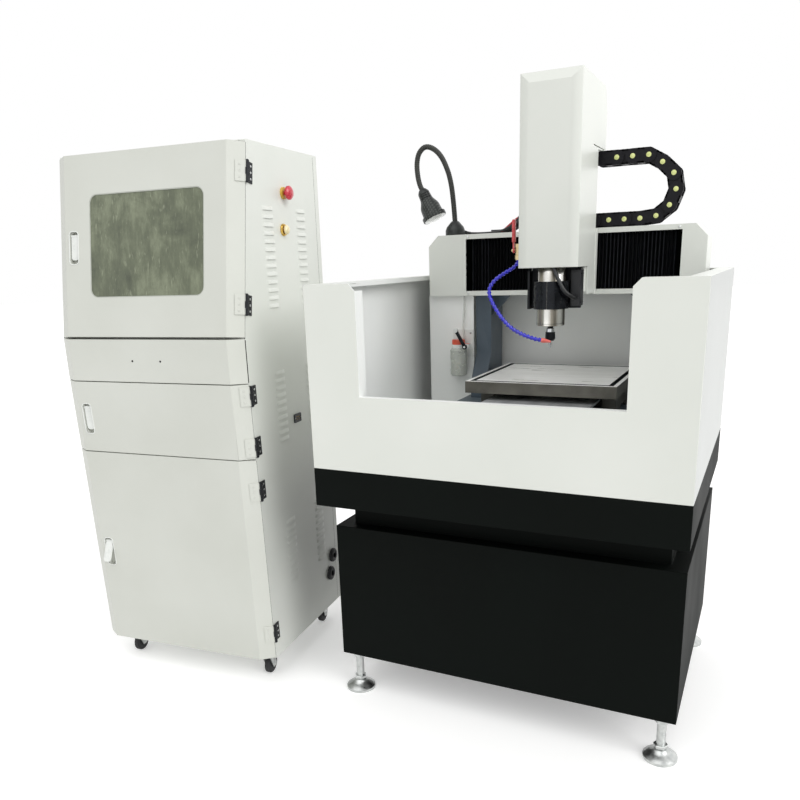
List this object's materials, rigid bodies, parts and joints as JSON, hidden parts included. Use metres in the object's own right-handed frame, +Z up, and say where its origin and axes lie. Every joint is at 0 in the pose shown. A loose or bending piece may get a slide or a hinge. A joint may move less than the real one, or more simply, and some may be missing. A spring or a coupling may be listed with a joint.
{
  "type": "cnc engraving machine",
  "caption": "Metal mould engraving machine: gantry, moving table and tall spindle head in a splash tray on a stand, with a control cabinet on casters beside it.",
  "frame": {"origin": "on the floor, under the middle of the outline of the machine and its cabinet", "axes": "+X to the operator's right, along the gantry; +Y to the back, along the table's travel; +Z up"},
  "size_m": [1.9016, 0.9566, 1.772],
  "materials": {
    "black_paint": "fine textured black",
    "white_paint": "smooth white",
    "cream_paint": "fine textured warm white",
    "casting_paint": "blue grey paint on castings",
    "bed_paint": "grey paint on castings",
    "cast_iron": "machined and oiled",
    "table_steel": "ground",
    "zinc": "zinc plated",
    "steel": "ground",
    "stainless": "rolled sheet",
    "spindle_steel": "turned",
    "tool_steel": "blackened",
    "black_metal": "satin black",
    "clamp_grey": "dark grey",
    "black_plastic": "moulded",
    "bellows_cloth": "pleated coated cloth",
    "brass": "bright",
    "red_plastic": "dipped",
    "blue_plastic": "moulded",
    "oil_cap": "moulded",
    "oil_cup": "translucent",
    "clear_tube": "clear tube",
    "window_glass": "tinted",
    "button_red": "moulded",
    "button_cream": "moulded",
    "screen_plastic": "moulded",
    "drive_grey": "cases of the computer and the drives",
    "caster_steel": "zinc plated",
    "caster_rubber": "moulded"
  },
  "bodies": {
    "frame": {"stand": "black_paint", "levelling_feet": "zinc", "skirt_deck": "black_paint", "bed": "bed_paint", "splash_tray": "white_paint", "gantry_frame": "casting_paint", "end_covers": "white_paint", "guide_rails": "steel", "axis_motors": "black_metal", "bellows_left": "bellows_cloth", "bellows_right": "bellows_cloth", "energy_chain": "black_plastic", "way_cover": "stainless", "lamp_stand": "black_metal", "lamp_shade": "black_metal", "lamp_cable": "black_plastic", "oil_pump": "oil_cap", "oil_reservoir": "oil_cup", "oil_line": "clear_tube", "cabinet_shell": "cream_paint", "door_hinges": "black_metal", "panel_fittings": "black_plastic", "monitor": "screen_plastic", "computer": "drive_grey"},
    "x_screw": {"x_screw": "steel"},
    "y_screw": {"y_screw": "steel"},
    "z_screw": {"z_screw": "steel"},
    "table": {"saddle": "cast_iron", "table": "table_steel"},
    "head": {"x_carriage": "white_paint", "head_column": "white_paint", "head_cover": "white_paint", "z_motor": "black_metal", "coolant_valve": "brass", "coolant_hose": "blue_plastic"},
    "spindle_slide": {"z_slide": "black_metal", "spindle_clamp": "clamp_grey", "spindle_body": "spindle_steel", "terminal_box": "black_plastic"},
    "spindle_shaft": {"spindle_shaft": "tool_steel"},
    "valve_lever": {"valve_lever": "red_plastic"},
    "oil_lever": {"oil_lever": "black_metal"},
    "upper_door": {"upper_door": "cream_paint", "window": "window_glass"},
    "middle_door": {"middle_door": "cream_paint"},
    "lower_door": {"lower_door": "cream_paint"},
    "keyboard_drawer": {"keyboard_drawer": "cream_paint"},
    "upper_latch": {"upper_latch": "white_paint"},
    "middle_latch": {"middle_latch": "white_paint"},
    "lower_latch": {"lower_latch": "white_paint"},
    "stop_button": {"stop_button": "button_red"},
    "power_button": {"power_button": "button_cream"},
    "caster_fork_1": {"caster_fork_1": "caster_steel"},
    "caster_wheel_1": {"caster_wheel_1": "caster_rubber"},
    "caster_fork_2": {"caster_fork_2": "caster_steel"},
    "caster_wheel_2": {"caster_wheel_2": "caster_rubber"},
    "caster_fork_3": {"caster_fork_3": "caster_steel"},
    "caster_wheel_3": {"caster_wheel_3": "caster_rubber"},
    "caster_fork_4": {"caster_fork_4": "caster_steel"},
    "caster_wheel_4": {"caster_wheel_4": "caster_rubber"}
  },
  "joints": [
    {"name": "x_axis", "type": "slide", "parent": "frame", "child": "head", "axis": [1, 0, 0], "range_m": [-0.208, 0.192], "deforming": ["bellows_left", "bellows_right", "energy_chain"]},
    {"name": "x_screw_spin", "type": "hinge", "parent": "frame", "child": "x_screw", "pos_m": [0.45076, 0.32072, 1.283], "axis": [1, 0, 0], "continuous": true},
    {"name": "y_axis", "type": "slide", "parent": "frame", "child": "table", "axis": [0, 1, 0], "range_m": [-0.33, 0.05]},
    {"name": "y_screw_spin", "type": "hinge", "parent": "frame", "child": "y_screw", "pos_m": [0.48276, 0.00472, 0.824], "axis": [0, 1, 0], "continuous": true},
    {"name": "z_axis", "type": "slide", "parent": "head", "child": "spindle_slide", "axis": [0, 0, 1], "range_m": [-0.085, 0.06]},
    {"name": "z_screw_spin", "type": "hinge", "parent": "head", "child": "z_screw", "pos_m": [0.49076, 0.20472, 1.4], "axis": [0, 0, 1], "continuous": true},
    {"name": "spindle_spin", "type": "hinge", "parent": "spindle_slide", "child": "spindle_shaft", "pos_m": [0.49076, 0.07872, 1.1], "axis": [0, 0, 1], "continuous": true},
    {"name": "valve_turn", "type": "hinge", "parent": "head", "child": "valve_lever", "pos_m": [0.39276, 0.07472, 1.32], "axis": [-1, 0, 0], "range_deg": [0, 90]},
    {"name": "oil_lever_pull", "type": "hinge", "parent": "frame", "child": "oil_lever", "pos_m": [0.15876, 0.24622, 1.02], "axis": [0, 1, 0], "range_deg": [0, 50], "stiffness_Nm_per_rad": 0.4, "springref_deg": -28.65},
    {"name": "upper_door_swing", "type": "hinge", "parent": "frame", "child": "upper_door", "pos_m": [-0.25293, -0.34475, 1.36731], "axis": [-0.0158, 0.1667, 0.9859], "range_deg": [0, 110]},
    {"name": "middle_door_swing", "type": "hinge", "parent": "frame", "child": "middle_door", "pos_m": [-0.24901, -0.38627, 0.86673], "axis": [0.0024, -0.0259, 0.9997], "range_deg": [0, 110]},
    {"name": "lower_door_swing", "type": "hinge", "parent": "frame", "child": "lower_door", "pos_m": [-0.25009, -0.37482, 0.42423], "axis": [0.0024, -0.0259, 0.9997], "range_deg": [0, 110]},
    {"name": "drawer_slide", "type": "slide", "parent": "frame", "child": "keyboard_drawer", "axis": [0.0941, -0.9956, 0], "range_m": [0, 0.3]},
    {"name": "upper_latch_pull", "type": "hinge", "parent": "upper_door", "child": "upper_latch", "pos_m": [-0.83005, -0.41322, 1.40517], "axis": [-0.9956, -0.0941, 0], "range_deg": [0, 45]},
    {"name": "middle_latch_pull", "type": "hinge", "parent": "middle_door", "child": "middle_latch", "pos_m": [-0.82548, -0.4616, 0.8952], "axis": [-0.9956, -0.0941, 0], "range_deg": [0, 45]},
    {"name": "lower_latch_pull", "type": "hinge", "parent": "lower_door", "child": "lower_latch", "pos_m": [-0.82657, -0.44999, 0.4467], "axis": [-0.9956, -0.0941, 0], "range_deg": [-25, 20]},
    {"name": "stop_button_push", "type": "slide", "parent": "frame", "child": "stop_button", "axis": [-0.9956, -0.0941, 0], "range_m": [0, 0.005]},
    {"name": "power_button_push", "type": "slide", "parent": "frame", "child": "power_button", "axis": [-0.9956, -0.0941, 0], "range_m": [0, 0.003], "stiffness_N_per_m": 500, "springref_m": -0.002},
    {"name": "caster_swivel_1", "type": "hinge", "parent": "frame", "child": "caster_fork_1", "pos_m": [-0.32274, -0.32885, 0.093], "axis": [0, 0, 1], "continuous": true},
    {"name": "caster_roll_1", "type": "hinge", "parent": "caster_fork_1", "child": "caster_wheel_1", "pos_m": [-0.32481, -0.30695, 0.031], "axis": [0.9956, 0.0941, 0], "continuous": true},
    {"name": "caster_swivel_2", "type": "hinge", "parent": "frame", "child": "caster_fork_2", "pos_m": [-0.8464, -0.37835, 0.093], "axis": [0, 0, 1], "continuous": true},
    {"name": "caster_roll_2", "type": "hinge", "parent": "caster_fork_2", "child": "caster_wheel_2", "pos_m": [-0.84848, -0.35645, 0.031], "axis": [0.9956, 0.0941, 0], "continuous": true},
    {"name": "caster_swivel_3", "type": "hinge", "parent": "frame", "child": "caster_fork_3", "pos_m": [-0.35954, 0.06041, 0.093], "axis": [0, 0, 1], "continuous": true},
    {"name": "caster_roll_3", "type": "hinge", "parent": "caster_fork_3", "child": "caster_wheel_3", "pos_m": [-0.36161, 0.08232, 0.031], "axis": [0.9956, 0.0941, 0], "continuous": true},
    {"name": "caster_swivel_4", "type": "hinge", "parent": "frame", "child": "caster_fork_4", "pos_m": [-0.8832, 0.01091, 0.093], "axis": [0, 0, 1], "continuous": true},
    {"name": "caster_roll_4", "type": "hinge", "parent": "caster_fork_4", "child": "caster_wheel_4", "pos_m": [-0.88527, 0.03281, 0.031], "axis": [0.9956, 0.0941, 0], "continuous": true}
  ],
  "couplings": [
    {"joint": "x_screw_spin", "follows": "x_axis", "rad_per_m": -628.32},
    {"joint": "y_screw_spin", "follows": "y_axis", "rad_per_m": -628.32},
    {"joint": "z_screw_spin", "follows": "z_axis", "rad_per_m": -628.32}
  ]
}
